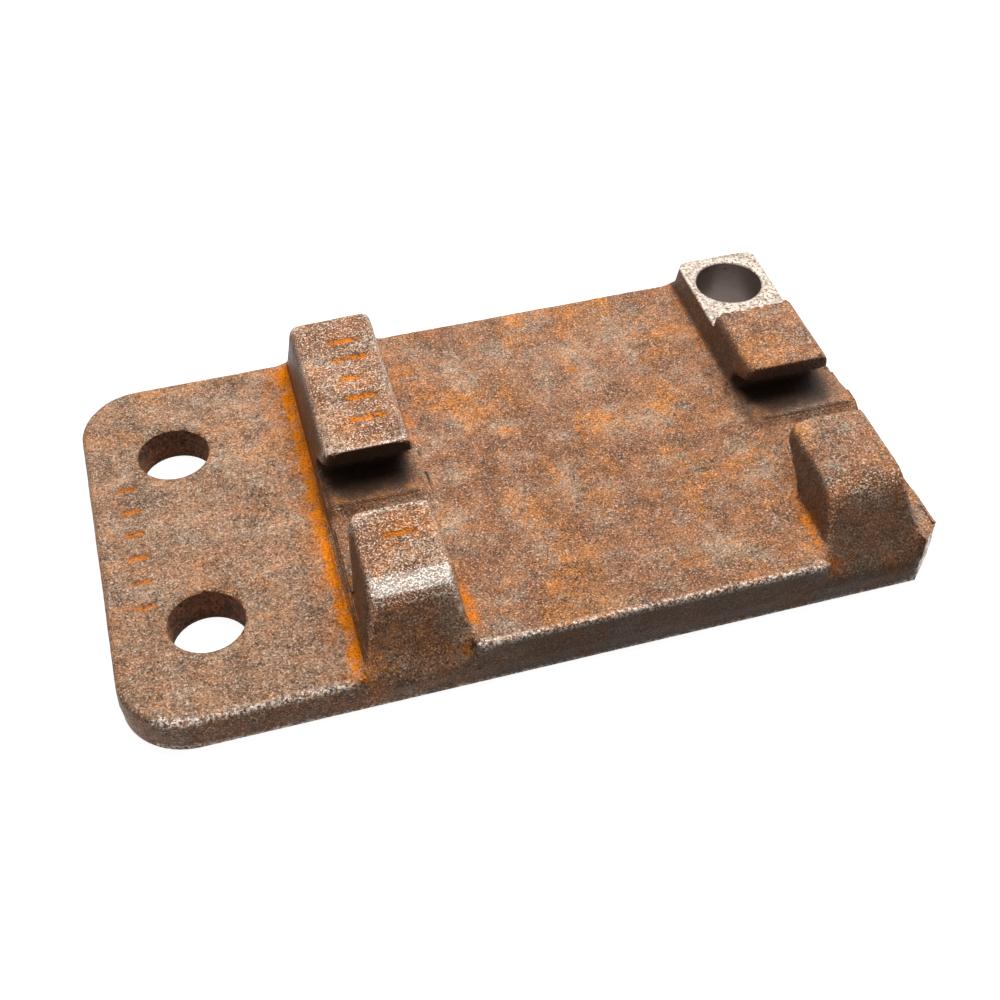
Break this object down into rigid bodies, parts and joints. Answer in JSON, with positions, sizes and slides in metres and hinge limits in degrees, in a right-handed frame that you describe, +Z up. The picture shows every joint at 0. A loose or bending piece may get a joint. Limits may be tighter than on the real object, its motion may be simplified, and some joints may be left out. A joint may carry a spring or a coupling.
{
  "type": "rail tie plate",
  "caption": "Cast rail tie plate: a thin spike field with round holes, a raised rail seat and hooked shoulders cut by undercut clip channels.",
  "frame": {"origin": "on the underside, at the middle of the plate's bounding box", "axes": "+X along the plate from the spike field to the far end, +Y from front to rear, +Z up from the underside"},
  "size_m": [0.31, 0.18, 0.038],
  "materials": {
    "iron": "as cast, rusted, with one milled face and one sawn corner bare"
  },
  "bodies": {
    "root": {"tie_plate": "iron"}
  },
  "joints": []
}
